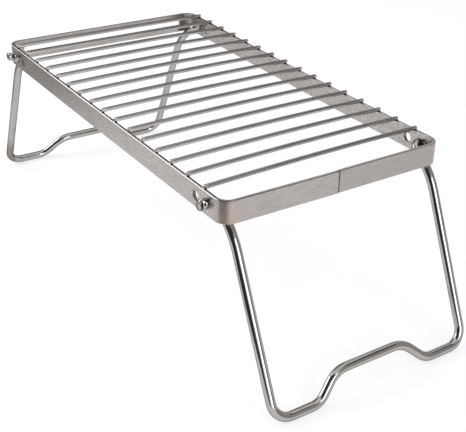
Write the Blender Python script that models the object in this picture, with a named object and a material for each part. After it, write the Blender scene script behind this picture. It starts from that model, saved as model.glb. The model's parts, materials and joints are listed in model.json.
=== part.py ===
"""Folding campfire grate: a strip frame on edge, a row of cross wires and two swing-out rod legs.

The origin is on the ground under the middle of the frame. X runs along the frame from its
slotted end to its seam end, Y runs across it and Z is up. All lengths are in metres.
"""

import math

import bmesh
import bpy
from mathutils import Matrix, Vector
from mathutils.geometry import intersect_point_line

# Frame: one flat bar standing on edge, bent into a rounded rectangle
GRATE_HEIGHT = 0.170
FRAME_LENGTH = 0.420
FRAME_WIDTH = 0.220
STRIP_HEIGHT = 0.020
STRIP_THICKNESS = 0.003
CORNER_RADIUS = 0.012
STRIP_EDGE_ROUND = 0.0003

# Openings in the bar
SLOT_LENGTH = 0.188
SLOT_HEIGHT = 0.006
PIVOT_INSET = 0.024
SPARE_HOLE_SPACING = 0.015
HOLE_CLEARANCE = 0.0005

# Cross wires, resting on the top of the bar
WIRE_COUNT = 16
WIRE_DIAMETER = 0.0040
WIRE_MARGIN_SLOT_END = 0.0235
WIRE_MARGIN_SEAM_END = 0.0320
WIRE_END_INSET = 0.0007
WIRE_SEAT_GAP = 0.0003

# Legs, each one bent rod
ROD_DIAMETER = 0.008
LEG_SIDE_GAP = 0.0025
LEG_STOP_GAP = 0.0003
PIVOT_BEND_INNER_RADIUS = 0.00225
ARM_LENGTH = 0.030
KNEE_TURN = math.radians(29.8)
KNEE_RADIUS = 0.060
FOOT_CORNER_RADIUS = 0.016
ARCH_WIDTH = 0.092
ARCH_RISE = 0.0204
ARCH_SLOPE = math.radians(44)
ARCH_BEND_RADIUS = 0.018

# Rod ends outside the frame, pinched so that they can't slip back through the holes
TIP_LENGTH = 0.010
EAR_GAP = 0.0006
EAR_LENGTH = 0.0055
EAR_OVERLAP = 0.0008
EAR_THINNING = 0.62

# Sizes that follow from the ones above
ROD_RADIUS = ROD_DIAMETER / 2
WIRE_RADIUS = WIRE_DIAMETER / 2
WIRE_PITCH = (FRAME_LENGTH - WIRE_MARGIN_SLOT_END - WIRE_MARGIN_SEAM_END) / (WIRE_COUNT - 1)
HOLE_RADIUS = ROD_RADIUS + HOLE_CLEARANCE
PIVOT_X = FRAME_LENGTH / 2 - PIVOT_INSET
PIVOT_Z = GRATE_HEIGHT - STRIP_HEIGHT / 2
SIDE_ROD_Y = FRAME_WIDTH / 2 - STRIP_THICKNESS - LEG_SIDE_GAP - ROD_RADIUS
TIP_Y = FRAME_WIDTH / 2 + TIP_LENGTH
EAR_START_Y = FRAME_WIDTH / 2 + EAR_GAP
EAR_WIDENING = (HOLE_RADIUS + EAR_OVERLAP) / ROD_RADIUS
INNER_CORNER_RADIUS = CORNER_RADIUS - STRIP_THICKNESS

# Fineness of the curved surfaces
CORNER_STEPS = 8
SLOT_END_STEPS = 6
HOLE_SIDES = 32
BEND_STEP = math.radians(9)
KNEE_STEP = math.radians(3.6)
EAR_STEPS = 6
ROD_LEVEL = 4
WIRE_LEVEL = 3
CUT_MARGIN = 0.005
MERGE_DISTANCE = 0.00001
SHARP_ANGLE = math.radians(35)

UP = Vector((0, 0, 1))
ACROSS = Vector((0, 1, 0))


def clear_scene():
    for obj in list(bpy.data.objects):
        bpy.data.objects.remove(obj, do_unlink=True)


def new_collection(name):
    collection = bpy.data.collections.new(name)
    bpy.context.scene.collection.children.link(collection)
    return collection


def steel(name, colour, roughness):
    material = bpy.data.materials.new(name)
    material.use_nodes = True
    shader = material.node_tree.nodes["Principled BSDF"]
    shader.inputs["Base Color"].default_value = (*colour, 1)
    shader.inputs["Roughness"].default_value = roughness
    shader.inputs["Metallic"].default_value = 1
    material.diffuse_color = (*colour, 1)
    return material


def mesh_from_curve(curve):
    """The closed mesh of a bevelled or extruded curve, with its caps joined to its sides."""
    holder = bpy.data.objects.new(curve.name, curve)
    bpy.context.scene.collection.objects.link(holder)
    bpy.context.view_layer.update()
    evaluated = holder.evaluated_get(bpy.context.evaluated_depsgraph_get())
    mesh = bpy.data.meshes.new_from_object(evaluated)
    mesh.name = curve.name
    bpy.data.objects.remove(holder, do_unlink=True)
    bpy.data.curves.remove(curve)
    shape = bmesh.new()
    shape.from_mesh(mesh)
    bmesh.ops.remove_doubles(shape, verts=shape.verts, dist=MERGE_DISTANCE)
    bmesh.ops.recalc_face_normals(shape, faces=shape.faces)
    shape.to_mesh(mesh)
    shape.free()
    return mesh


def add_points(curve, points, closed):
    spline = curve.splines.new("POLY")
    spline.points.add(len(points) - 1)
    for place, point in zip(spline.points, points):
        place.co = (*point, 1)
    spline.use_cyclic_u = closed


def rod_mesh(name, path, diameter, level):
    """A round rod along path, closed by flat ends."""
    curve = bpy.data.curves.new(name, "CURVE")
    curve.dimensions = "3D"
    curve.bevel_depth = diameter / 2
    curve.bevel_resolution = level
    curve.use_fill_caps = True
    add_points(curve, path, False)
    return mesh_from_curve(curve)


def plate_mesh(name, outlines, thickness, edge_round=0):
    """A flat piece with the given outlines, centred on the plane of the outlines."""
    curve = bpy.data.curves.new(name, "CURVE")
    curve.dimensions = "2D"
    curve.fill_mode = "BOTH"
    curve.extrude = thickness / 2 - edge_round
    curve.bevel_depth = edge_round
    curve.offset = -edge_round
    curve.bevel_resolution = 0
    for outline in outlines:
        add_points(curve, outline, True)
    return mesh_from_curve(curve)


def place(name, mesh, collection, material=None):
    obj = bpy.data.objects.new(name, mesh)
    collection.objects.link(obj)
    if material:
        mesh.materials.clear()
        mesh.materials.append(material)
        mesh.shade_smooth()
        mesh.set_sharp_from_angle(angle=SHARP_ANGLE)
    return obj


def place_cutter(name, mesh, collection):
    cutter = place(name, mesh, collection)
    cutter.display_type = "WIRE"
    cutter.hide_render = True
    return cutter


def rounded_rectangle(length, width, radius, steps):
    """Outline about the origin, length along X. With a radius of half the width it is a slot."""
    outline = []
    for quarter, (side_x, side_y) in enumerate(((1, 1), (-1, 1), (-1, -1), (1, -1))):
        centre = Vector((side_x * (length / 2 - radius), side_y * (width / 2 - radius), 0))
        for step in range(steps + 1):
            angle = math.pi / 2 * (quarter + step / steps)
            point = centre + radius * Vector((math.cos(angle), math.sin(angle), 0))
            if not outline or (point - outline[-1]).length > MERGE_DISTANCE:
                outline.append(point)
    if (outline[-1] - outline[0]).length < MERGE_DISTANCE:
        outline.pop()
    return outline


def filleted(corners, largest_step):
    """Path through the corners, each given as a point and the radius of the bend around it."""
    path = [corners[0][0]]
    for (before, _), (corner, radius), (after, _) in zip(corners, corners[1:], corners[2:]):
        incoming = (corner - before).normalized()
        outgoing = (after - corner).normalized()
        turn = incoming.angle(outgoing)
        inward = (outgoing - incoming * math.cos(turn)).normalized()
        centre = corner - incoming * radius * math.tan(turn / 2) + inward * radius
        steps = math.ceil(turn / largest_step)
        for step in range(steps + 1):
            angle = turn * step / steps
            path.append(centre + radius * (incoming * math.sin(angle) - inward * math.cos(angle)))
    path.append(corners[-1][0])
    return path


def inner_reach(y):
    """Distance from the middle of the frame to the inside of an end strip, at y across."""
    into_corner = min(max(0, y - FRAME_WIDTH / 2 + CORNER_RADIUS), INNER_CORNER_RADIUS)
    return FRAME_LENGTH / 2 - CORNER_RADIUS + math.sqrt(INNER_CORNER_RADIUS**2 - into_corner**2)


def gap_at_stop(side_path, lean):
    """Gap between a side rod leaning outward by lean and the lower inner edge of the end strip."""
    upright = Matrix.Rotation(lean, 3, "Y")
    samples = 8
    nearest = math.inf
    for sample in range(-samples, samples + 1):
        offset = ROD_RADIUS * sample / samples
        reach = inner_reach(SIDE_ROD_Y + offset) - PIVOT_X
        edge = upright @ Vector((reach, offset, -STRIP_HEIGHT / 2))
        for start, end in zip(side_path, side_path[1:]):
            part = intersect_point_line(edge, start, end)[1]
            on_rod = start.lerp(end, min(max(part, 0), 1))
            nearest = min(nearest, (edge - on_rod).length - ROD_RADIUS)
    return nearest


def lean_on_stop(side_path):
    """Lean of the arm when the side rods rest against the end strip."""
    low = 0
    high = math.atan2(inner_reach(SIDE_ROD_Y) - PIVOT_X, STRIP_HEIGHT / 2)
    for _ in range(40):
        middle = (low + high) / 2
        if gap_at_stop(side_path, middle) > LEG_STOP_GAP:
            low = middle
        else:
            high = middle
    return low


def leg_shape():
    """The rod's path about its pivot axis with the arms straight down, and its lean at rest."""
    knee = -UP * ARM_LENGTH
    shin = Vector((-math.sin(KNEE_TURN), 0, -math.cos(KNEE_TURN)))
    below_knee = knee + shin * KNEE_RADIUS
    side_path = filleted([(Vector(), 0), (knee, KNEE_RADIUS), (below_knee, 0)], KNEE_STEP)
    lean = lean_on_stop(side_path)
    shin_drop = PIVOT_Z - ROD_RADIUS - ARM_LENGTH * math.cos(lean)
    foot = knee + shin * shin_drop / math.cos(lean - KNEE_TURN)
    slope_run = ARCH_RISE / math.tan(ARCH_SLOPE)
    low_y = (ARCH_WIDTH + slope_run) / 2
    high_y = (ARCH_WIDTH - slope_run) / 2
    pivot_part = filleted(
        [
            (ACROSS * TIP_Y, 0),
            (ACROSS * SIDE_ROD_Y, ROD_RADIUS + PIVOT_BEND_INNER_RADIUS),
            (knee + ACROSS * SIDE_ROD_Y, 0),
        ],
        BEND_STEP,
    )
    knee_part = filleted(
        [
            (ACROSS * SIDE_ROD_Y, 0),
            (knee + ACROSS * SIDE_ROD_Y, KNEE_RADIUS),
            (foot + ACROSS * SIDE_ROD_Y, 0),
        ],
        KNEE_STEP,
    )
    foot_part = filleted(
        [
            (knee + ACROSS * SIDE_ROD_Y, 0),
            (foot + ACROSS * SIDE_ROD_Y, FOOT_CORNER_RADIUS),
            (foot + ACROSS * low_y, ARCH_BEND_RADIUS),
            (foot - shin * ARCH_RISE + ACROSS * high_y, ARCH_BEND_RADIUS),
            (foot - shin * ARCH_RISE, 0),
        ],
        BEND_STEP,
    )
    ear_points = [
        ACROSS * (EAR_START_Y + EAR_LENGTH * step / EAR_STEPS)
        for step in range(EAR_STEPS, -1, -1)
    ]
    half = pivot_part[:1] + ear_points + pivot_part[1:-1] + knee_part[1:-1] + foot_part[1:-1]
    other_half = [Vector((point.x, -point.y, point.z)) for point in reversed(half)]
    return half + other_half, lean


def pinch_ends(mesh, lean):
    """Flattens a short length of each rod end, wide in the direction that is upright at rest."""
    to_rest = Matrix.Rotation(-lean, 3, "Y")
    for vertex in mesh.vertices:
        along = (abs(vertex.co.y) - EAR_START_Y) / EAR_LENGTH
        if 0 < along < 1:
            amount = math.sin(math.pi * along) ** 2
            point = to_rest @ vertex.co
            point.x *= 1 + (EAR_THINNING - 1) * amount
            point.z *= 1 + (EAR_WIDENING - 1) * amount
            vertex.co = to_rest.inverted() @ point


def build_frame(parts, cutters):
    outer = rounded_rectangle(FRAME_LENGTH, FRAME_WIDTH, CORNER_RADIUS, CORNER_STEPS)
    inner = rounded_rectangle(
        FRAME_LENGTH - 2 * STRIP_THICKNESS,
        FRAME_WIDTH - 2 * STRIP_THICKNESS,
        INNER_CORNER_RADIUS,
        CORNER_STEPS,
    )
    mesh = plate_mesh("frame_strip", [outer, inner], STRIP_HEIGHT, STRIP_EDGE_ROUND)
    strip = place("frame_strip", mesh, parts, steel("strip_steel", (0.42, 0.40, 0.39), 0.35))
    strip.location = (0, 0, PIVOT_Z)
    slot = rounded_rectangle(SLOT_LENGTH, SLOT_HEIGHT, SLOT_HEIGHT / 2, SLOT_END_STEPS)
    depth = STRIP_THICKNESS + 2 * CUT_MARGIN
    slot_cutter = place_cutter("slot_cutter", plate_mesh("slot_cutter", [slot], depth), cutters)
    slot_cutter.location = (-(FRAME_LENGTH - STRIP_THICKNESS) / 2, 0, PIVOT_Z)
    slot_cutter.rotation_euler = (math.pi / 2, 0, math.pi / 2)
    tools = [slot_cutter]
    spare_x = PIVOT_X - SPARE_HOLE_SPACING
    for number, x in enumerate((-PIVOT_X, -spare_x, spare_x, PIVOT_X), start=1):
        name = f"hole_cutter_{number}"
        mesh = bpy.data.meshes.new(name)
        shape = bmesh.new()
        bmesh.ops.create_cone(
            shape,
            cap_ends=True,
            segments=HOLE_SIDES,
            radius1=HOLE_RADIUS,
            radius2=HOLE_RADIUS,
            depth=FRAME_WIDTH + 2 * CUT_MARGIN,
        )
        shape.to_mesh(mesh)
        shape.free()
        cutter = place_cutter(name, mesh, cutters)
        cutter.location = (x, 0, PIVOT_Z)
        cutter.rotation_euler = (math.pi / 2, 0, 0)
        tools.append(cutter)
    for tool in tools:
        cut = strip.modifiers.new(tool.name, "BOOLEAN")
        cut.operation = "DIFFERENCE"
        cut.solver = "EXACT"
        cut.object = tool


def build_wires(parts):
    metal = steel("wire_steel", (0.34, 0.33, 0.33), 0.4)
    half_length = FRAME_WIDTH / 2 - WIRE_END_INSET
    z = GRATE_HEIGHT + WIRE_SEAT_GAP + WIRE_RADIUS
    for number in range(WIRE_COUNT):
        name = f"wire_{number + 1:02d}"
        path = [-ACROSS * half_length, ACROSS * half_length]
        wire = place(name, rod_mesh(name, path, WIRE_DIAMETER, WIRE_LEVEL), parts, metal)
        x = WIRE_MARGIN_SLOT_END - FRAME_LENGTH / 2 + number * WIRE_PITCH
        wire.location = (x, 0, z)


def build_legs(parts):
    metal = steel("leg_steel", (0.50, 0.49, 0.48), 0.22)
    path, lean = leg_shape()
    for name, end, heading in (("seam_end_leg", 1, 0), ("slot_end_leg", -1, math.pi)):
        mesh = rod_mesh(name, path, ROD_DIAMETER, ROD_LEVEL)
        pinch_ends(mesh, lean)
        leg = place(name, mesh, parts, metal)
        leg.location = (end * PIVOT_X, 0, PIVOT_Z)
        leg.rotation_euler = (0, -lean, heading)


def main():
    clear_scene()
    parts = new_collection("folding_campfire_grate")
    cutters = new_collection("cutters")
    cutters.hide_render = True
    build_frame(parts, cutters)
    build_wires(parts)
    build_legs(parts)


main()
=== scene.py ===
import json
import math
import random

import bmesh
import bpy
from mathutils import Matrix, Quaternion, Vector


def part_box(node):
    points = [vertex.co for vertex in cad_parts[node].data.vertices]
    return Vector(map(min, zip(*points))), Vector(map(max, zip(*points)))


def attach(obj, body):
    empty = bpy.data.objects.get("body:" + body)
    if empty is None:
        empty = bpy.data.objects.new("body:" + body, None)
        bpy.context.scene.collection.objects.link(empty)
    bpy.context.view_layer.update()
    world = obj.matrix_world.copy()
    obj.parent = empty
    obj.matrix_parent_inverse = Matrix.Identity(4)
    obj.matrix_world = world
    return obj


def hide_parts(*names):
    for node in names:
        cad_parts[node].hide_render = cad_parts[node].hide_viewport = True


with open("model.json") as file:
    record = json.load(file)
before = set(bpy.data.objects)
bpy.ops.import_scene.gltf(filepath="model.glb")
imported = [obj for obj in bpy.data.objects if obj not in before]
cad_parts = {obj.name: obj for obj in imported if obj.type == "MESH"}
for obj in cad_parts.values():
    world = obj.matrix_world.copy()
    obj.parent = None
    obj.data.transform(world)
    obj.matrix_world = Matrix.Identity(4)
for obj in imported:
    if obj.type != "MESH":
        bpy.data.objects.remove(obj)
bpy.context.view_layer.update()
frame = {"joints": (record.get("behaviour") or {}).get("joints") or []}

stripLow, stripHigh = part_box("frame_strip")
pivotX = frame["joints"][0]["pos_m"][0]
pivotZ = frame["joints"][0]["pos_m"][2]


# small helpers for edit mode

def deselectAll():
    bpy.ops.object.select_all(action="DESELECT")


def takeUp(piece):
    # makes it the only selected object, and the active one
    deselectAll()
    piece.select_set(True)
    bpy.context.view_layer.objects.active = piece


def editMode():
    bpy.ops.object.mode_set(mode="EDIT")


def objectMode():
    bpy.ops.object.mode_set(mode="OBJECT")


def pickOut(piece, kind, wanted):
    # selects the verts or edges whose middle passes the test
    mesh = bmesh.from_edit_mesh(piece.data)
    bpy.ops.mesh.select_mode(type={"verts": "VERT", "edges": "EDGE"}[kind])
    bpy.ops.mesh.select_all(action="DESELECT")
    for item in getattr(mesh, kind):
        middle = item.co if kind == "verts" else (item.verts[0].co + item.verts[1].co) / 2
        if wanted(middle):
            item.select_set(True)
    mesh.select_flush_mode()
    bmesh.update_edit_mesh(piece.data)


def extrudeBy(move):
    bpy.ops.mesh.extrude_region_move(TRANSFORM_OT_translate={"value": move})


def settle(piece):
    # leaves the object at the origin with its place in its mesh
    takeUp(piece)
    bpy.ops.object.transform_apply(location=True, rotation=True, scale=True)


def applyModifier(piece, kind, **settings):
    takeUp(piece)
    modifier = piece.modifiers.new(kind.lower(), kind)
    for name, value in settings.items():
        setattr(modifier, name, value)
    bpy.ops.object.modifier_apply(modifier=modifier.name)


def cutAway(piece, cutter):
    applyModifier(piece, "BOOLEAN", operation="DIFFERENCE", solver="EXACT", object=cutter)
    bpy.data.objects.remove(cutter)


def smoothBelow(piece, angle):
    takeUp(piece)
    bpy.ops.object.shade_smooth_by_angle(angle=angle)


def duplicatePiece(piece, name):
    copied = piece.copy()
    copied.data = piece.data.copy()
    copied.name = copied.data.name = name
    bpy.context.collection.objects.link(copied)
    return copied


def finishWith(piece, finish):
    piece.data.materials.clear()
    piece.data.materials.append(finish.material)


# shader maths

class Field:
    # a value that varies over a surface; arithmetic on it adds Math nodes

    def __init__(self, nodes, socket):
        self.nodes = nodes
        self.socket = socket

    def calc(self, operation, first, second=0.0):
        return self.nodes.node("ShaderNodeMath", {"operation": operation}, {0: first, 1: second})

    def __add__(self, other):
        return self.calc("ADD", self, other)

    def __radd__(self, other):
        return self.calc("ADD", other, self)

    def __sub__(self, other):
        return self.calc("SUBTRACT", self, other)

    def __rsub__(self, other):
        return self.calc("SUBTRACT", other, self)

    def __mul__(self, other):
        return self.calc("MULTIPLY", self, other)

    def __rmul__(self, other):
        return self.calc("MULTIPLY", other, self)

    def __abs__(self):
        return self.calc("ABSOLUTE", self)

    def atLeast(self, floor):
        return self.calc("MAXIMUM", self, floor)


class NodeSet:
    # the nodes of one material or of the world

    def __init__(self, owner):
        owner.use_nodes = True
        self.tree = owner.node_tree
        self.tree.nodes.clear()

    def node(self, kind, settings=None, sockets=None, output=0):
        made = self.tree.nodes.new(kind)
        for name, value in (settings or {}).items():
            setattr(made, name, value)
        for name, value in (sockets or {}).items():
            if isinstance(value, Field):
                self.tree.links.new(value.socket, made.inputs[name])
            else:
                made.inputs[name].default_value = value
        return Field(self, made.outputs[output]) if made.outputs else None

    def unseenShare(self):
        # 1 for rays that come straight from the camera or off metal, 0 for soft light
        share = self.node("ShaderNodeLightPath", output="Is Camera Ray")
        otherRays = share.socket.node.outputs
        for name in ("Is Glossy Ray", "Is Transmission Ray"):
            share = self.node(
                "ShaderNodeMath", {"operation": "ADD", "use_clamp": True},
                {0: share, 1: Field(self, otherRays[name])},
            )
        return share

    def sendOut(self, shader, kind="ShaderNodeOutputMaterial"):
        self.node(kind, {}, {"Surface": shader})


class Finish(NodeSet):
    # one material and the ways to build it up

    def __init__(self, name):
        self.material = bpy.data.materials.new(name)
        super().__init__(self.material)

    def place(self):
        # where a point is, in metres from the frame's origin
        return self.node("ShaderNodeTexCoord", output="Object")

    def mark(self, name, output):
        return self.node("ShaderNodeAttribute", {"attribute_name": name}, output=output)

    def axes(self, place):
        split = self.node("ShaderNodeSeparateXYZ", sockets={0: place})
        return [Field(self, socket) for socket in split.socket.node.outputs]

    def stretched(self, place, amounts):
        return self.node("ShaderNodeVectorMath", {"operation": "MULTIPLY"}, {0: place, 1: amounts})

    def noise(self, place, scale=1.0, detail=3.0):
        return self.node(
            "ShaderNodeTexNoise", {"normalize": True},
            {"Vector": place, "Scale": scale, "Detail": detail, "Roughness": 0.55},
        )

    def fade(self, value, low, high):
        # 0 at low, 1 at high, smooth between
        return self.node(
            "ShaderNodeMapRange", {"interpolation_type": "SMOOTHSTEP", "clamp": True},
            {"Value": value, "From Min": low, "From Max": high, "To Min": 0.0, "To Max": 1.0},
        )

    def near(self, place, spot, radius):
        # 1 at the spot, 0 beyond the radius
        distance = self.node(
            "ShaderNodeVectorMath", {"operation": "DISTANCE"}, {0: place, 1: spot}, output="Value",
        )
        return self.fade(distance, radius, radius * 0.25)

    def ring(self, squared, radius, offsets):
        # fades a squared distance between two offsets from a radius
        return self.fade(squared, *[(radius + offset) ** 2 for offset in offsets])

    def blend(self, amount, colourA, colourB):
        return self.node(
            "ShaderNodeMix", {"data_type": "RGBA", "clamp_factor": True},
            {0: amount, 6: colourA, 7: colourB}, output=2,
        )

    def bump(self, height, distance, strength):
        return self.node(
            "ShaderNodeBump", {}, {"Height": height, "Distance": distance, "Strength": strength},
        )

    def steel(self, colour, roughness, normal, edgeTint=(1, 1, 1, 1)):
        sockets = {
            "Base Color": colour, "Roughness": roughness, "Metallic": 1.0,
            "Normal": normal, "Specular Tint": edgeTint,
        }
        self.sendOut(self.node("ShaderNodeBsdfPrincipled", {}, sockets))


# sizes of the strip, which its finish needs too

strip = {
    "thickness": 0.003,
    "cornerRadius": 0.012,
    "cornerSteps": 16,
    "edgeChamfer": 0.0004,
    "edgeProfile": 0.3,
    "edgeSteps": 3,
    "edgeAngle": math.radians(60),
    "holeEdge": 0.0003,
    "holeEdgeSteps": 2,
    "holeEdgeAngle": math.radians(40),
    "holeRadius": 0.0044,
    "holeSides": 48,
    "holeSpacing": 0.015,
    "slotLength": 0.188,
    "slotHeight": 0.006,
    "slotSides": 32,
    "seamGroove": 0.0006,
    "seamY": 0.0,
    "cutsAlong": 24,
    "nearMiddle": 0.001,
    "offMiddle": 0.0001,
    "smoothAngle": math.radians(35),
    "sag": {-1: 0.0005, 1: 0.0008},
    "lean": 0.0015,
    "seamDrop": 0.0006,
    "seamDropAcross": 0.3,
}


# finishes: an Amount is a share from 0 to 1, a Range is where a fade starts and ends,
# Offsets say the same from an edge or a radius, and a Rough adds to the roughness

stripSteelLook = {
    "base": (0.46, 0.427, 0.416, 1),
    "pale": (0.53, 0.50, 0.49, 1),
    "dull": (0.37, 0.34, 0.33, 1),
    "straw": (0.50, 0.38, 0.28, 1),
    # the colour below is soot in the seam and painted shade in the holes
    "sootAndShade": (0.12, 0.105, 0.10, 1),
    # the colour below, named scale, is painted shade for the strip's top edges
    "scale": (0.17, 0.155, 0.15, 1),
    # the next two colours are painted shade near and painted highlight far along the outer top edge
    "paintedEdgeLight": (0.33, 0.32, 0.315, 1),
    "paintedEdgeLightFar": (0.74, 0.725, 0.715, 1),
    "fleck": (0.72, 0.69, 0.68, 1),
    "pit": (0.26, 0.235, 0.225, 1),
    "roughness": 0.32,
    "brushAlong": 60.0,
    "brushAcross": 1500.0,
    "speckleScale": 1400.0,
    "cloudScale": 45.0,
    "smudgeScale": (90.0, 90.0, 320.0),
    "mottleScale": 800.0,
    "grainRange": (0.36, 0.64),
    "baseAmount": 0.55,
    "cloudRange": (0.42, 0.72),
    "cloudAmount": 0.25,
    "smudgeRange": (0.42, 0.68),
    "smudgeAmount": 0.65,
    "fleckRange": (0.5, 0.66),
    "pitRange": (0.5, 0.34),
    "mottleAmount": 0.55,
    "mottleLostOnEnds": 0.75,
    "secondHalfAmount": 0.45,
    "topShadeBackAmount": 0.6,
    "topShadeFarAmount": 0.3,
    "innerEdgeShadeAmount": 0.85,
    "sootAndShadeAmount": 0.7,
    "strawAmount": 0.5,
    "strawSpot": (0, 0.005, 0.006),
    "strawRadius": 0.014,
    "endsRange": (0.198, 0.205),
    "seamEndRange": (0.2, 0.205),
    "farRange": (0.1, -0.15),
    "backRange": (0.09, 0.1),
    "frontRange": (-0.09, -0.1),
    "boreRange": (0.1098, 0.1094),
    "topShadeOffsets": (-0.0016, -0.0004),
    "topOffsets": (-0.0022, -0.0016),
    "edgeLightOuterOffsets": (0.0, -0.0001),
    "edgeLightInnerOffsets": (-0.0005, -0.0003),
    "innerOffsets": (0.0017, 0.0012),
    "boreOffsets": (0.0004, 0.0002),
    "seamSplit": 0.0003,
    "seamReach": 0.0012,
    "cornerRange": (0.0, 0.00001),
    "grainRough": 0.25,
    "cloudRough": 0.12,
    "edgeLightRough": -0.16,
    "cornerRough": 0.05,
    "bumpDistance": 0.00004,
    "bumpStrength": 0.5,
}


def makeStripSteel():
    look = stripSteelLook
    finish = Finish("satin strip steel")
    place = finish.place()
    x, y, z = finish.axes(place)
    onEnds = finish.fade(abs(x), *look["endsRange"])
    onSeamEnd = finish.fade(x, *look["seamEndRange"])
    farPart = finish.fade(x, *look["farRange"])

    # brushed along the bar, with specks, clouds, smudges and fine mottling
    along, across = look["brushAlong"], look["brushAcross"]
    alongSides = finish.noise(finish.stretched(place, (along, across, across)))
    alongEnds = finish.noise(finish.stretched(place, (across, along, across)))
    drawn = onEnds * alongEnds + (1 - onEnds) * alongSides
    speckle = finish.noise(place, look["speckleScale"], 2.0)
    grain = (drawn + speckle) * 0.5
    colour = finish.blend(finish.fade(grain, *look["grainRange"]), look["dull"], look["pale"])
    colour = finish.blend(look["baseAmount"], colour, look["base"])
    clouds = finish.noise(place, look["cloudScale"])
    cloudy = finish.fade(clouds, *look["cloudRange"]) * look["cloudAmount"]
    colour = finish.blend(cloudy, colour, look["dull"])
    smudges = finish.noise(finish.stretched(place, look["smudgeScale"]), detail=2.0)
    smudged = finish.fade(smudges, *look["smudgeRange"]) * look["smudgeAmount"]
    colour = finish.blend(smudged, colour, look["dull"])
    mottle = finish.noise(place, look["mottleScale"], 1.0)
    mottled = (1 - onEnds * look["mottleLostOnEnds"]) * look["mottleAmount"]
    flecks = finish.fade(mottle, *look["fleckRange"])
    colour = finish.blend(flecks * mottled, colour, look["fleck"])
    pits = finish.fade(mottle, *look["pitRange"])
    colour = finish.blend(pits * mottled, colour, look["pit"])

    # the bar's second end is a little duller than its first
    secondHalf = finish.fade(y, -look["seamSplit"], look["seamSplit"]) * onSeamEnd
    colour = finish.blend(secondHalf * look["secondHalfAmount"], colour, look["dull"])

    # painted shade along the top edge of the back and far sides, a painted highlight along the
    # outer top edge, and painted shade on the inner top edge at -Y
    belowTop = z - stripHigh.z
    paintedTopShade = finish.fade(belowTop, *look["topShadeOffsets"]) * (1 - onEnds)
    onBack = finish.fade(y, *look["backRange"]) * look["topShadeBackAmount"]
    colour = finish.blend(
        paintedTopShade * (onBack + farPart * look["topShadeFarAmount"]), colour, look["scale"],
    )
    outerRadius = strip["cornerRadius"]
    innerRadius = outerRadius - strip["thickness"]
    pastX = (abs(x) - (stripHigh.x - outerRadius)).atLeast(0.0)
    pastY = (abs(y) - (stripHigh.y - outerRadius)).atLeast(0.0)
    outward = pastX * pastX + pastY * pastY
    nearTop = finish.fade(belowTop, *look["topOffsets"])
    # painted highlight along the outer top edge, darker towards the near end
    edgeLightMask = (
        nearTop * finish.ring(outward, outerRadius, look["edgeLightOuterOffsets"])
        * finish.ring(outward, outerRadius, look["edgeLightInnerOffsets"])
    )
    paintedEdgeLight = finish.blend(farPart, look["paintedEdgeLight"], look["paintedEdgeLightFar"])
    colour = finish.blend(edgeLightMask, colour, paintedEdgeLight)
    # painted shade on the inner top chamfer at -Y, coloured with the scale colour
    innerEdgeShade = (
        nearTop * finish.fade(y, *look["frontRange"])
        * finish.ring(outward, innerRadius, look["innerOffsets"])
    )
    innerEdgeShade = innerEdgeShade * (1 - onEnds) * look["innerEdgeShadeAmount"]
    colour = finish.blend(innerEdgeShade, colour, look["scale"])

    # painted shade on the hole walls and around the holes, soot in the seam, and a straw tint at
    # the corner that took the heat
    holesMiddle = pivotX - strip["holeSpacing"] / 2
    besideHole = abs(abs(abs(x) - holesMiddle) - strip["holeSpacing"] / 2)
    aboveHole = z - pivotZ
    fromHole = besideHole * besideHole + aboveHole * aboveHole
    # painted shade in and around the holes
    holeWallShade = (
        finish.ring(fromHole, strip["holeRadius"], look["boreOffsets"])
        * finish.fade(abs(y), *look["boreRange"])
    )
    colour = finish.blend(holeWallShade * (1 - onEnds) * look["sootAndShadeAmount"], colour, look["sootAndShade"])
    hotSpot = Vector((stripHigh.x, stripLow.y, stripLow.z)) + Vector(look["strawSpot"])
    heat = finish.near(place, hotSpot, look["strawRadius"])
    colour = finish.blend(heat * look["strawAmount"], colour, look["straw"])
    seam = (1 - finish.fade(abs(y), look["seamSplit"], look["seamReach"])) * onSeamEnd
    colour = finish.blend(seam * look["sootAndShadeAmount"], colour, look["sootAndShade"])

    onCorner = finish.fade(pastX * pastY, *look["cornerRange"])
    roughness = (
        look["roughness"] + (grain - 0.5) * look["grainRough"] + (clouds - 0.5) * look["cloudRough"]
        + edgeLightMask * look["edgeLightRough"] + onCorner * look["cornerRough"]
    )
    bump = finish.bump(grain, look["bumpDistance"], look["bumpStrength"])
    finish.steel(colour, roughness, bump)
    return finish


wireSteelLook = {
    "base": (0.54, 0.52, 0.51, 1),
    "dull": (0.39, 0.375, 0.37, 1),
    # the colour below is painted shade along the top of the wires
    "top": (0.20, 0.193, 0.19, 1),
    "pale": (0.60, 0.575, 0.565, 1),
    "edge": (0.12, 0.115, 0.115, 1),
    "roughness": 0.14,
    "drawnScale": (1500.0, 40.0, 1500.0),
    "drawnRange": (0.35, 0.65),
    "cloudScale": 120.0,
    "nearRange": (-0.02, -0.09),
    "nearEndLightAmount": 0.6,
    "seamRange": (-0.1, 0.12),
    "ridgeRange": (0.92, 0.985),
    "topRange": (0.42, 0.72),
    "topStartsHigherNear": 0.16,
    "topEndsLowerNear": 0.1,
    "topAmount": 0.85,
    "topLostAtSeam": 0.2,
    "topGainedNear": 0.15,
    "raggedness": 0.004,
    "cutEndRange": (0.104, 0.108),
    "cutEndAmount": 0.7,
    "drawnRough": 0.2,
    "cutEndRough": 0.12,
    "bumpDistance": 0.00003,
    "bumpStrength": 0.5,
}


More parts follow.
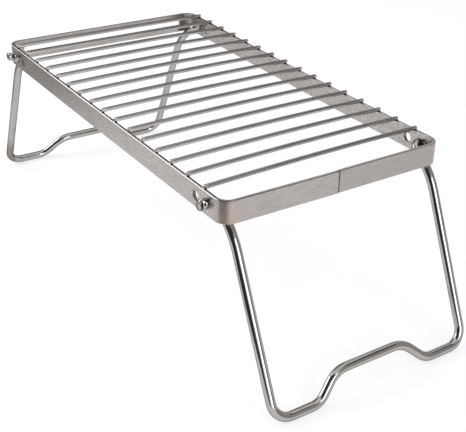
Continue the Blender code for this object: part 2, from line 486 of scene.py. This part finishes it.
def makeWireSteel():
    look = wireSteelLook
    finish = Finish("drawn wire steel")
    place = finish.place()
    x, y = finish.axes(place)[:2]
    drawn = finish.noise(finish.stretched(place, look["drawnScale"]))
    colour = finish.blend(finish.fade(drawn, *look["drawnRange"]), look["base"], look["dull"])
    # painted light: the wires are made paler towards their near ends
    nearEnd = finish.fade(y, *look["nearRange"])
    colour = finish.blend(nearEnd * look["nearEndLightAmount"], colour, look["pale"])

    # painted shade on top, narrower towards the near ends, with a painted highlight ridge towards
    # the seam end
    height = finish.mark("heightOnWire", "Fac")
    towardSeam = finish.fade(x, *look["seamRange"])
    ridgeHighlight = finish.fade(height, *look["ridgeRange"]) * towardSeam
    topStart, topEnd = look["topRange"]
    wireTopShade = finish.fade(
        height - nearEnd * look["topStartsHigherNear"],
        topStart, topEnd - nearEnd * look["topEndsLowerNear"],
    )
    wireTopShade = wireTopShade * (1 - ridgeHighlight) * (
        look["topAmount"] - towardSeam * look["topLostAtSeam"] + nearEnd * look["topGainedNear"]
    )
    colour = finish.blend(wireTopShade, colour, look["top"])

    clouds = finish.noise(place, look["cloudScale"], 2.0)
    ragged = abs(y) + (clouds - 0.5) * look["raggedness"]
    cutEnd = finish.fade(ragged, *look["cutEndRange"])
    colour = finish.blend(cutEnd * look["cutEndAmount"], colour, look["pale"])
    roughness = (
        look["roughness"] + (drawn - 0.5) * look["drawnRough"] + cutEnd * look["cutEndRough"]
    )
    bump = finish.bump(drawn, look["bumpDistance"], look["bumpStrength"])
    finish.steel(colour, roughness, bump, look["edge"])
    return finish


legSteelLook = {
    "base": (0.45, 0.435, 0.425, 1),
    "dull": (0.36, 0.345, 0.335, 1),
    "brown": (0.20, 0.165, 0.145, 1),
    "edge": (0.30, 0.285, 0.275, 1),
    "roughness": 0.11,
    "drawnScale": (1500.0, 1500.0, 25.0),
    "cloudScale": 70.0,
    "blotchScale": (160.0, 160.0, 60.0),
    "drawnRange": (0.4, 0.75),
    "drawnAmount": 0.4,
    "blotchRange": (0.52, 0.75),
    "blotchAmount": 0.35,
    "footAmount": 0.7,
    "footHeightRange": (0.045, 0.022),
    "footSideRange": (-0.09, -0.098),
    "footEndRange": (0.0, -0.2),
    "drawnRough": 0.12,
    "cloudRough": 0.08,
    "bumpDistance": 0.00002,
    "bumpStrength": 0.4,
}


def makeLegSteel():
    look = legSteelLook
    finish = Finish("polished rod steel")
    alongRod = finish.mark("straightRod", "Vector")
    drawn = finish.noise(finish.stretched(alongRod, look["drawnScale"]))
    clouds = finish.noise(alongRod, look["cloudScale"])
    blotches = finish.noise(finish.stretched(alongRod, look["blotchScale"]))
    dulled = finish.fade(drawn, *look["drawnRange"]) * look["drawnAmount"]
    colour = finish.blend(dulled, look["base"], look["dull"])
    blotched = finish.fade(blotches, *look["blotchRange"]) * look["blotchAmount"]
    colour = finish.blend(blotched, colour, look["brown"])

    # the far leg's near foot bend is tinted brown
    x, y, z = finish.axes(finish.place())
    bentFoot = (
        finish.fade(z, *look["footHeightRange"]) * finish.fade(y, *look["footSideRange"])
        * finish.fade(x, *look["footEndRange"])
    )
    colour = finish.blend(bentFoot * look["footAmount"], colour, look["brown"])
    roughness = (
        look["roughness"] + (drawn - 0.5) * look["drawnRough"] + (clouds - 0.5) * look["cloudRough"]
    )
    bump = finish.bump(drawn, look["bumpDistance"], look["bumpStrength"])
    finish.steel(colour, roughness, bump, look["edge"])
    return finish


weldSteelLook = {
    # near-black: weld scale, and also painted shadow in the gap between wire and strip
    "gapShadowBlack": (0.012, 0.011, 0.011, 1),
    "grey": (0.06, 0.054, 0.052, 1),
    "rust": (0.16, 0.13, 0.10, 1),
    "roughness": 0.45,
    "crustScale": 900.0,
    "crustRange": (0.35, 0.7),
    "crustRough": 0.35,
    "tintScale": 160.0,
    "rustRange": (0.5, 0.7),
    "rustAmount": 0.2,
    "bumpDistance": 0.0002,
    "bumpStrength": 0.6,
}


def makeWeldSteel():
    look = weldSteelLook
    finish = Finish("weld scale and painted gap shadow")
    place = finish.place()
    crust = finish.noise(place, look["crustScale"])
    tint = finish.noise(place, look["tintScale"], 2.0)
    colour = finish.blend(finish.fade(crust, *look["crustRange"]), look["gapShadowBlack"], look["grey"])
    rusty = finish.fade(tint, *look["rustRange"]) * look["rustAmount"]
    colour = finish.blend(rusty, colour, look["rust"])
    bump = finish.bump(crust, look["bumpDistance"], look["bumpStrength"])
    finish.steel(colour, look["roughness"] + crust * look["crustRough"], bump)
    return finish


stripSteel = makeStripSteel()
wireSteel = makeWireSteel()
legSteel = makeLegSteel()
weldSteel = makeWeldSteel()
print("finishes made")


# the strip frame

def makeHoleCutter(x):
    deselectAll()
    bpy.ops.mesh.primitive_cylinder_add(
        vertices=strip["holeSides"], radius=strip["holeRadius"], depth=stripHigh.y * 3,
        location=(x, 0, pivotZ), rotation=(math.radians(90), 0, 0),
    )
    return bpy.context.object


def makeSlotCutter():
    deselectAll()
    bpy.ops.mesh.primitive_cylinder_add(
        vertices=strip["slotSides"], radius=strip["slotHeight"] / 2, depth=strip["thickness"] * 4,
        location=(stripLow.x, 0, pivotZ), rotation=(0, math.radians(90), 0),
    )
    cutter = bpy.context.object
    settle(cutter)
    reach = (strip["slotLength"] - strip["slotHeight"]) / 2
    editMode()
    for side in (-1, 1):
        pickOut(cutter, "verts", lambda point: point.y * side > strip["offMiddle"])
        bpy.ops.transform.translate(value=(0, side * reach, 0))
    objectMode()
    return cutter


def makeSeamCutter():
    deselectAll()
    bpy.ops.mesh.primitive_cylinder_add(
        vertices=4, radius=strip["seamGroove"], depth=(stripHigh.z - stripLow.z) * 2,
        location=(stripHigh.x, strip["seamY"], pivotZ),
    )
    return bpy.context.object


def weldPull(point):
    # how far the welding drew a point of the long sides out of true
    along = math.cos(math.pi / 2 * point.x / stripHigh.x)
    across = point.y / stripHigh.y
    height = (point.z - stripLow.z) / (stripHigh.z - stripLow.z)
    lean = strip["lean"] * along * max(0, across) ** 2 * height
    sag = strip["sag"][-1 if across < 0 else 1]
    return Vector((0, -lean, -sag * along * across ** 2))


def seamDrop(point):
    # the two ends of the bar don't meet quite level
    if point.x < stripHigh.x - strip["cornerRadius"]:
        return 0
    reach = max(0, 1 - abs(point.y) / (stripHigh.y - strip["cornerRadius"]))
    return strip["seamDrop"] * reach * (1 if point.y < 0 else strip["seamDropAcross"])


def makeStripBlank():
    size = stripHigh - stripLow
    middle = (stripLow + stripHigh) / 2
    floorMiddle = (middle.x, middle.y, stripLow.z)
    deselectAll()
    bpy.ops.mesh.primitive_plane_add(size=1, location=floorMiddle)
    piece = bpy.context.object
    piece.name = "bent_strip"
    settle(piece)
    editMode()
    bpy.ops.mesh.select_all(action="SELECT")
    bpy.ops.transform.resize(value=(size.x, size.y, 1), center_override=floorMiddle)
    bpy.ops.mesh.bevel(
        offset=strip["cornerRadius"], segments=strip["cornerSteps"], affect="VERTICES",
    )
    bpy.ops.mesh.inset(thickness=strip["thickness"], use_even_offset=True)
    bpy.ops.mesh.delete(type="FACE")
    bpy.ops.mesh.select_all(action="SELECT")
    extrudeBy((0, 0, size.z))
    bpy.ops.mesh.select_all(action="SELECT")
    bpy.ops.mesh.normals_make_consistent(inside=False)
    pickOut(piece, "edges", lambda point: min(abs(point.x), abs(point.y)) < strip["nearMiddle"])
    bpy.ops.mesh.subdivide(number_cuts=strip["cutsAlong"])
    bpy.ops.mesh.select_all(action="DESELECT")
    bpy.ops.mesh.edges_select_sharp(sharpness=strip["edgeAngle"])
    bpy.ops.mesh.bevel(
        offset=strip["edgeChamfer"], segments=strip["edgeSteps"],
        profile=strip["edgeProfile"], affect="EDGES",
    )
    objectMode()
    return piece


def makeStrip():
    piece = makeStripBlank()
    for side in (-1, 1):
        for inset in (0, strip["holeSpacing"]):
            cutAway(piece, makeHoleCutter(side * (pivotX - inset)))
    cutAway(piece, makeSlotCutter())
    applyModifier(
        piece, "BEVEL", width=strip["holeEdge"], segments=strip["holeEdgeSteps"],
        limit_method="ANGLE", angle_limit=strip["holeEdgeAngle"], use_clamp_overlap=True,
    )
    cutAway(piece, makeSeamCutter())
    for vertex in piece.data.vertices:
        drop = seamDrop(vertex.co)
        vertex.co += weldPull(vertex.co)
        vertex.co.z -= drop
    smoothBelow(piece, strip["smoothAngle"])
    applyModifier(piece, "WEIGHTED_NORMAL", keep_sharp=True, weight=80)
    finishWith(piece, stripSteel)
    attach(piece, "frame")
    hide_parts("frame_strip")


makeStrip()
print("strip frame bent, drilled and slotted")


# the cross wires; skewed moves the -Y end along the frame, moved the whole wire

wires = {
    "count": 16,
    "sides": 20,
    "endRound": 0.0006,
    "stations": 14,
    "smoothAngle": math.radians(40),
    "sink": 0.00045,
    "sinkAtSeamEnd": 0.00100,
    "arch": 0.00044,
    "seed": 11,
    "bowRange": (-0.0006, 0.0001),
    "skewRange": (-0.0003, 0.0003),
    "skewed": {3: -0.0008, 14: 0.0006, 15: 0.0026, 16: 0.0034},
    "moved": {15: -0.0007},
}


def makeWireBlank(low, high):
    radius = (high.z - low.z) / 2
    middle = (low + high) / 2
    endRound = wires["endRound"]
    deselectAll()
    bpy.ops.mesh.primitive_circle_add(
        vertices=wires["sides"], radius=radius - endRound, fill_type="NGON",
        location=(middle.x, low.y, middle.z), rotation=(math.radians(90), 0, 0),
    )
    blank = bpy.context.object
    settle(blank)
    editMode()
    bpy.ops.mesh.select_all(action="SELECT")
    grow = radius / (radius - endRound)
    step = (high.y - low.y - 2 * endRound) / wires["stations"]
    moves = [(endRound, grow)] + [(step, 1)] * wires["stations"] + [(endRound, 1 / grow)]
    travel = low.y
    for move, scale in moves:
        extrudeBy((0, move, 0))
        travel += move
        if scale != 1:
            bpy.ops.transform.resize(
                value=(scale, 1, scale), center_override=(middle.x, travel, middle.z),
            )
    bpy.ops.mesh.select_all(action="SELECT")
    bpy.ops.mesh.normals_make_consistent(inside=False)
    objectMode()
    heights = blank.data.attributes.new("heightOnWire", "FLOAT", "POINT")
    for index, vertex in enumerate(blank.data.vertices):
        heights.data[index].value = (vertex.co.z - middle.z) / radius
    return blank


def makeWires():
    draw = random.Random(wires["seed"])
    firstLow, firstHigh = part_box("wire_01")
    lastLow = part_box(f"wire_{wires['count']:02d}")[0]
    blank = makeWireBlank(firstLow, firstHigh)
    smoothBelow(blank, wires["smoothAngle"])
    blankX = (firstLow.x + firstHigh.x) / 2
    made = []
    for number in range(1, wires["count"] + 1):
        low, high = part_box(f"wire_{number:02d}")
        piece = duplicatePiece(blank, f"cross_wire_{number:02d}")
        shift = (low.x + high.x) / 2 - blankX + wires["moved"].get(number, 0)
        bow = draw.uniform(*wires["bowRange"])
        skew = draw.uniform(*wires["skewRange"])
        skewed = wires["skewed"].get(number, 0)
        nearSeam = max(0, low.x / lastLow.x)
        sink = wires["sink"] + (wires["sinkAtSeamEnd"] - wires["sink"]) * nearSeam
        for vertex in piece.data.vertices:
            across = vertex.co.y / high.y
            inMiddle = 1 - across ** 2
            vertex.co.x += shift
            vertex.co.z += weldPull(vertex.co).z - sink + wires["arch"] * inMiddle
            vertex.co.x += bow * inMiddle + skew * across + skewed * ((1 - across) / 2) ** 2
        finishWith(piece, wireSteel)
        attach(piece, "frame")
        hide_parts(f"wire_{number:02d}")
        made.append(piece)
    bpy.data.objects.remove(blank)
    return made


crossWires = makeWires()
print("wires laid:", len(crossWires))


# the welds

welds = {
    "length": 0.0025,
    "width": 0.0013,
    "height": 0.0010,
    "facets": (12, 8),
    "seed": 5,
    "lengthRange": (0.9, 1.15),
    "widthRange": (0.85, 1.05),
    "heightRange": (0.85, 1.1),
    "inset": 0.0022,
    "seamBead": (0.0007, 0.0019, 0.0092),
    "seamFacets": (16, 12),
    "smoothAngle": math.radians(60),
}


def addBead(spot, facets):
    deselectAll()
    bpy.ops.mesh.primitive_uv_sphere_add(
        segments=facets[0], ring_count=facets[1], radius=1, location=spot,
    )
    return bpy.context.object


# the beads sit at the strip's inner top edge, where they also stand in for the gap shadow under
# each wire
def makeWelds():
    draw = random.Random(welds["seed"])
    beads = []
    spotY = stripHigh.y - welds["inset"]
    for number in range(1, wires["count"] + 1):
        low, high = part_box(f"wire_{number:02d}")
        for side in (-1, 1):
            spot = Vector(((low.x + high.x) / 2, side * spotY, stripHigh.z))
            bead = addBead(spot + weldPull(spot), welds["facets"])
            bead.scale = (
                welds["length"] * draw.uniform(*welds["lengthRange"]),
                welds["width"] * draw.uniform(*welds["widthRange"]),
                welds["height"] * draw.uniform(*welds["heightRange"]),
            )
            if side < 0:
                bead.location.x += wires["skewed"].get(number, 0)
            beads.append(bead)
    inside = (stripHigh.x - strip["thickness"], strip["seamY"], pivotZ)
    seamBead = addBead(inside, welds["seamFacets"])
    seamBead.scale = welds["seamBead"]
    deselectAll()
    for bead in beads + [seamBead]:
        bead.select_set(True)
    bpy.context.view_layer.objects.active = beads[0]
    bpy.ops.object.join()
    piece = bpy.context.object
    piece.name = "wire_welds"
    settle(piece)
    smoothBelow(piece, welds["smoothAngle"])
    finishWith(piece, weldSteel)
    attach(piece, "frame")


makeWelds()
print("wires welded down")


# the legs

leg = {
    "rodRadius": 0.004,
    "rodSides": 32,
    "sideRodY": 0.1005,
    "tipY": 0.120,
    "tipChamfer": 0.0006,
    "earStart": 0.1106,
    "earLength": 0.0055,
    "earSteps": 8,
    "earWide": 1.325,
    "earThin": 0.62,
    "pivotBend": 0.00625,
    "arm": 0.030,
    "kneeTurn": math.radians(29.8),
    "kneeRadius": 0.060,
    "footCorner": 0.016,
    "archWidth": 0.092,
    "archRise": 0.0204,
    "archSlope": math.radians(44),
    "archBend": 0.018,
    "archTopBend": 0.026,
    "bendStep": math.radians(6),
    "spinSign": -1,
    "mergeGap": 0.00001,
    "smoothAngle": math.radians(50),
    "shortTipFrom": 0.1171,
    "shortTip": 0.0033,
    "pinch": 0.004,
    "tipLift": {"seam_end_leg": -0.0015, "slot_end_leg": 0.0033},
}


def legCorners():
    # the middle line of one half of the leg: corner points, each with its bend radius
    low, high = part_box("seam_end_leg")
    across = Vector((0, 1, 0))
    pivot = Vector((pivotX, 0, pivotZ))
    foot = Vector((high.x - leg["rodRadius"], 0, low.z + leg["rodRadius"]))
    reach = (foot - pivot).length
    arm = leg["arm"]
    turn = leg["kneeTurn"]
    shinLength = -arm * math.cos(turn) + math.sqrt(reach ** 2 - (arm * math.sin(turn)) ** 2)
    lean = math.atan2(foot.x - pivot.x, pivot.z - foot.z)
    lean += math.asin(shinLength * math.sin(turn) / reach)
    knee = pivot + arm * Vector((math.sin(lean), 0, -math.cos(lean)))
    shin = (foot - knee).normalized()
    slopeRun = leg["archRise"] / math.tan(leg["archSlope"])
    lowY = (leg["archWidth"] + slopeRun) / 2
    highY = (leg["archWidth"] - slopeRun) / 2
    side = -across * leg["sideRodY"]
    arch = foot - shin * leg["archRise"]
    print("leg leans", round(math.degrees(lean), 2), "degrees, shin", round(shinLength, 4))
    return [
        (pivot - across * leg["tipY"], 0),
        (pivot + side, leg["pivotBend"]),
        (knee + side, leg["kneeRadius"]),
        (foot + side, leg["footCorner"]),
        (foot - across * lowY, leg["archBend"]),
        (arch - across * highY, leg["archTopBend"]),
        (arch, 0),
    ]


def extrudeEar(start):
    # the pinched part of the rod, just outside the strip
    steps = leg["earSteps"]
    lastWide = lastThin = 1
    at = start.copy()
    for step in range(1, steps + 1):
        amount = math.sin(math.pi * step / steps) ** 2
        wide = 1 + (leg["earWide"] - 1) * amount
        thin = 1 + (leg["earThin"] - 1) * amount
        extrudeBy((0, leg["earLength"] / steps, 0))
        at.y += leg["earLength"] / steps
        bpy.ops.transform.resize(value=(thin / lastThin, 1, wide / lastWide), center_override=at)
        lastWide, lastThin = wide, thin
    return at


def extrudeBends(corners, at):
    # runs the rod from a point on its first straight to the last corner
    heading = Vector((0, 1, 0))
    for index in range(1, len(corners) - 1):
        corner, bendRadius = corners[index]
        nextHeading = (corners[index + 1][0] - corner).normalized()
        turn = heading.angle(nextHeading)
        cut = bendRadius * math.tan(turn / 2)
        bendStart = corner - heading * cut
        extrudeBy(bendStart - at)
        axis = heading.cross(nextHeading).normalized()
        inward = axis.cross(heading)
        bpy.ops.mesh.spin(
            steps=max(4, math.ceil(turn / leg["bendStep"])), angle=leg["spinSign"] * turn,
            center=bendStart + inward * bendRadius, axis=axis,
        )
        at = corner + nextHeading * cut
        heading = nextHeading
    extrudeBy(corners[-1][0] - at)


def makeHalfLeg(corners):
    radius = leg["rodRadius"]
    tip = corners[0][0]
    deselectAll()
    bpy.ops.mesh.primitive_circle_add(
        vertices=leg["rodSides"], radius=radius - leg["tipChamfer"], fill_type="NOTHING",
        location=tip, rotation=(math.radians(90), 0, 0),
    )
    piece = bpy.context.object
    settle(piece)
    editMode()
    bpy.ops.mesh.select_mode(type="EDGE")
    bpy.ops.mesh.select_all(action="SELECT")
    at = tip + Vector((0, leg["tipChamfer"], 0))
    extrudeBy((0, leg["tipChamfer"], 0))
    grow = radius / (radius - leg["tipChamfer"])
    bpy.ops.transform.resize(value=(grow, 1, grow), center_override=at)
    earTip = Vector((tip.x, -(leg["earStart"] + leg["earLength"]), tip.z))
    extrudeBy(earTip - at)
    extrudeBends(corners, extrudeEar(earTip))
    objectMode()
    return piece


def makeLeg(corners):
    piece = makeHalfLeg(corners)
    applyModifier(
        piece, "MIRROR", use_axis=(False, True, False), merge_threshold=2 * leg["mergeGap"],
    )
    editMode()
    pickOut(piece, "edges", lambda point: abs(point.y) > leg["tipY"] - leg["mergeGap"])
    bpy.ops.mesh.edge_face_add()
    bpy.ops.mesh.select_all(action="SELECT")
    bpy.ops.mesh.remove_doubles(threshold=leg["mergeGap"])
    bpy.ops.mesh.normals_make_consistent(inside=False)
    objectMode()
    smoothBelow(piece, leg["smoothAngle"])
    return piece


def mirrorLeg(piece, name):
    mirrored = duplicatePiece(piece, name)
    takeUp(mirrored)
    editMode()
    bpy.ops.mesh.select_all(action="SELECT")
    bpy.ops.transform.resize(value=(-1, 1, 1), center_override=(0, 0, 0))
    bpy.ops.mesh.normals_make_consistent(inside=False)
    objectMode()
    return mirrored


def straightRodPoint(point, corners):
    # how far along the rod a point is, and its offset from the rod's middle line
    best = None
    travel = 0
    for start, end in zip(corners, corners[1:]):
        span = end - start
        along = max(0, min(span.length, (point - start).dot(span.normalized())))
        offset = point - start - span.normalized() * along
        if best is None or offset.length < best[1].length:
            best = (travel + along, offset)
        travel += span.length
    return best


def markRodLength(piece, corners, mirror):
    # keeps on each point where it would be if the rod were pulled straight along Z;
    # the half at +Y counts down from a metre
    middles = [Vector((point.x * mirror, point.y, point.z)) for point, _ in corners]
    marks = piece.data.attributes.new("straightRod", "FLOAT_VECTOR", "POINT")
    for index, vertex in enumerate(piece.data.vertices):
        point = Vector((vertex.co.x, -abs(vertex.co.y), vertex.co.z))
        along, offset = straightRodPoint(point, middles)
        if vertex.co.y > 0:
            along = 1 - along
        marks.data[index].vector = Vector((offset.x, offset.y + offset.z * 0.5, along))


def pinchOneSide(piece):
    # the far leg's rod at +Y was bent in a little more than its twin
    for vertex in piece.data.vertices:
        place = vertex.co
        if place.y > 0:
            below = min(1, max(0, (pivotZ - leg["rodRadius"] - place.z) / leg["arm"]))
            smooth = below * below * (3 - 2 * below)
            place.y -= leg["pinch"] * smooth * place.y / leg["sideRodY"]


def shortenTip(piece):
    # the pin at -Y ends sooner past its ear
    for vertex in piece.data.vertices:
        if vertex.co.y < -leg["shortTipFrom"]:
            vertex.co.y += leg["shortTip"]


def bendTip(piece, lift):
    # the pin at -Y doesn't come out of its hole quite square
    for vertex in piece.data.vertices:
        outside = max(0, stripLow.y - vertex.co.y) / (leg["tipY"] - stripHigh.y)
        vertex.co.z += lift * outside


def makeLegs():
    corners = legCorners()
    seamEndLeg = makeLeg(corners)
    seamEndLeg.name = "bent_leg_seam_end"
    slotEndLeg = mirrorLeg(seamEndLeg, "bent_leg_slot_end")
    pinchOneSide(slotEndLeg)
    shortenTip(seamEndLeg)
    for piece, node, body, mirror in (
        (seamEndLeg, "seam_end_leg", "leg_at_seam_end", 1),
        (slotEndLeg, "slot_end_leg", "leg_at_slot_end", -1),
    ):
        bendTip(piece, leg["tipLift"][node])
        markRodLength(piece, corners, mirror)
        finishWith(piece, legSteel)
        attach(piece, body)
        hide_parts(node)


makeLegs()
print("legs bent and hung")


# floor and lights; azimuths from -Y towards +X, widths and heights as the grate sees them

white = (1, 1, 1, 1)

studio = {
    "aim": Vector((0.2, 0.0, 0.08)),
    "backdrop": 1.0,
    "fill": 0.9,
    "floorSize": 30,
    "floorLit": 0.35,
    "floorColour": (0.95, 0.95, 0.95, 1),
    "floorCardZ": 0.0015,
    "cardWarmth": (1, 0.97, 0.95),
}

# name, azimuth, elevation, distance, width, height, glow, where 1 is paper white
softboxes = [
    ("softbox_left", -50, 31, 1.7, 36, 32, 2.9),
    ("softbox_right", 92, 19, 1.6, 27, 38, 3.4),
]

# name, azimuth, elevation, distance, width, height, shade
cards = [
    ("card_front_low", 22, 14, 1.9, 74, 60, 0.05),
    ("card_front_high", 26, 58, 1.9, 84, 36, 0.08),
    ("card_back_right", 147, 30, 2.0, 60, 62, 0.45),
    ("card_back_left", -150, 20, 2.2, 58, 40, 0.75),
    ("card_left", -106, 22, 2.0, 30, 50, 0.19),
    ("card_overhead", 158, 52, 1.9, 36, 14, 0.10),
    ("card_horizon_right", 123, 3, 2.6, 30, 14, 0.12),
]

# name, lowest and highest x, lowest and highest y, shade
floorCards = [
    ("card_floor_front", 0.17, 1.8, -3.0, -0.40, 0.06),
    ("card_floor_edge", 0.17, 1.8, -0.40, -0.34, 0.20),
    ("card_floor_corner", 0.33, 1.8, -0.34, -0.255, 0.22),
    ("card_floor_back", 0.95, 3.0, 0.25, 2.5, 0.12),
    ("card_floor_left", -3.0, -0.43, -3.0, -0.19, 0.36),
    ("card_floor_left_edge", -0.43, -0.30, -1.5, -0.21, 0.76),
]


def makeWorld():
    world = bpy.data.worlds.new("studio")
    bpy.context.scene.world = world
    nodes = NodeSet(world)
    soft, seen = [
        nodes.node("ShaderNodeBackground", {}, {"Color": white, "Strength": studio[name]})
        for name in ("fill", "backdrop")
    ]
    mix = nodes.node("ShaderNodeMixShader", {}, {0: nodes.unseenShare(), 1: soft, 2: seen})
    nodes.sendOut(mix, "ShaderNodeOutputWorld")


def makeFloor():
    deselectAll()
    bpy.ops.mesh.primitive_plane_add(size=studio["floorSize"], location=(0, 0, 0))
    floor = bpy.context.object
    floor.name = "studio_floor"
    finish = Finish("studio floor")
    lit = finish.node("ShaderNodeBsdfDiffuse", {}, {"Color": studio["floorColour"]})
    glow = finish.node("ShaderNodeEmission", {}, {"Color": white, "Strength": 1.0})
    share = finish.unseenShare() * (1 - studio["floorLit"])
    finish.sendOut(finish.node("ShaderNodeMixShader", {}, {0: share, 1: lit, 2: glow}))
    finishWith(floor, finish)


def directionFrom(azimuth, elevation):
    turn = math.radians(azimuth)
    rise = math.radians(elevation)
    level = math.cos(rise)
    return Vector((math.sin(turn) * level, -math.cos(turn) * level, math.sin(rise)))


def spanOf(degrees, distance):
    return 2 * distance * math.tan(math.radians(degrees / 2))


def addSoftbox(name, azimuth, elevation, distance, width, height, glow):
    light = bpy.data.lights.new(name, "AREA")
    light.shape = "RECTANGLE"
    light.size = spanOf(width, distance)
    light.size_y = spanOf(height, distance)
    light.energy = glow * math.pi * light.size * light.size_y
    lamp = bpy.data.objects.new(name, light)
    bpy.context.collection.objects.link(lamp)
    toLamp = directionFrom(azimuth, elevation)
    lamp.location = studio["aim"] + toLamp * distance
    lamp.rotation_euler = toLamp.to_track_quat("Z", "Y").to_euler()
    lamp.visible_camera = False


def hideFromAllButMetal(card, shade):
    finish = Finish(card.name)
    colour = [shade * warmth for warmth in studio["cardWarmth"]] + [1]
    finish.sendOut(finish.node("ShaderNodeEmission", {}, {"Color": colour, "Strength": 1.0}))
    finishWith(card, finish)
    card.visible_camera = False
    card.visible_diffuse = False
    card.visible_transmission = False
    card.visible_shadow = False


def addCard(name, azimuth, elevation, distance, width, height, shade):
    # a flag that only metal sees
    deselectAll()
    toCard = directionFrom(azimuth, elevation)
    bpy.ops.mesh.primitive_plane_add(
        size=1, location=studio["aim"] + toCard * distance,
        rotation=toCard.to_track_quat("Z", "Y").to_euler(),
    )
    card = bpy.context.object
    card.name = name
    card.scale = (spanOf(width, distance), spanOf(height, distance), 1)
    hideFromAllButMetal(card, shade)


def addFloorCard(name, lowX, highX, lowY, highY, shade):
    # the dark room beyond the white paper
    deselectAll()
    middle = ((lowX + highX) / 2, (lowY + highY) / 2, studio["floorCardZ"])
    bpy.ops.mesh.primitive_plane_add(size=1, location=middle)
    card = bpy.context.object
    card.name = name
    card.scale = (highX - lowX, highY - lowY, 1)
    hideFromAllButMetal(card, shade)


makeWorld()
makeFloor()
for softbox in softboxes:
    addSoftbox(*softbox)
for card in cards:
    addCard(*card)
for card in floorCards:
    addFloorCard(*card)
print("studio set up")


# the camera

view = {
    "at": Vector((0.746869, -0.450044, 0.507998)),
    "aim": Vector((0.175549, -0.041144, 0.110)),
    "roll": math.radians(2.125),
    "lens": 75.41,
    "sensorWidth": 36,
    "shiftX": -0.08,
    "shiftY": 0.033,
    "clipStart": 0.01,
    "clipEnd": 50,
}


def placeCamera():
    data = bpy.data.cameras.new("camera")
    camera = bpy.data.objects.new("camera", data)
    bpy.context.collection.objects.link(camera)
    data.sensor_width = view["sensorWidth"]
    data.lens = view["lens"]
    data.shift_x = view["shiftX"]
    data.shift_y = view["shiftY"]
    data.clip_start = view["clipStart"]
    data.clip_end = view["clipEnd"]
    camera.location = view["at"]
    turn = (view["aim"] - view["at"]).to_track_quat("-Z", "Y")
    camera.rotation_euler = (turn @ Quaternion((0, 0, 1), view["roll"])).to_euler()
    bpy.context.scene.camera = camera


placeCamera()
bpy.context.scene.view_settings.view_transform = "Standard"
print("camera placed")
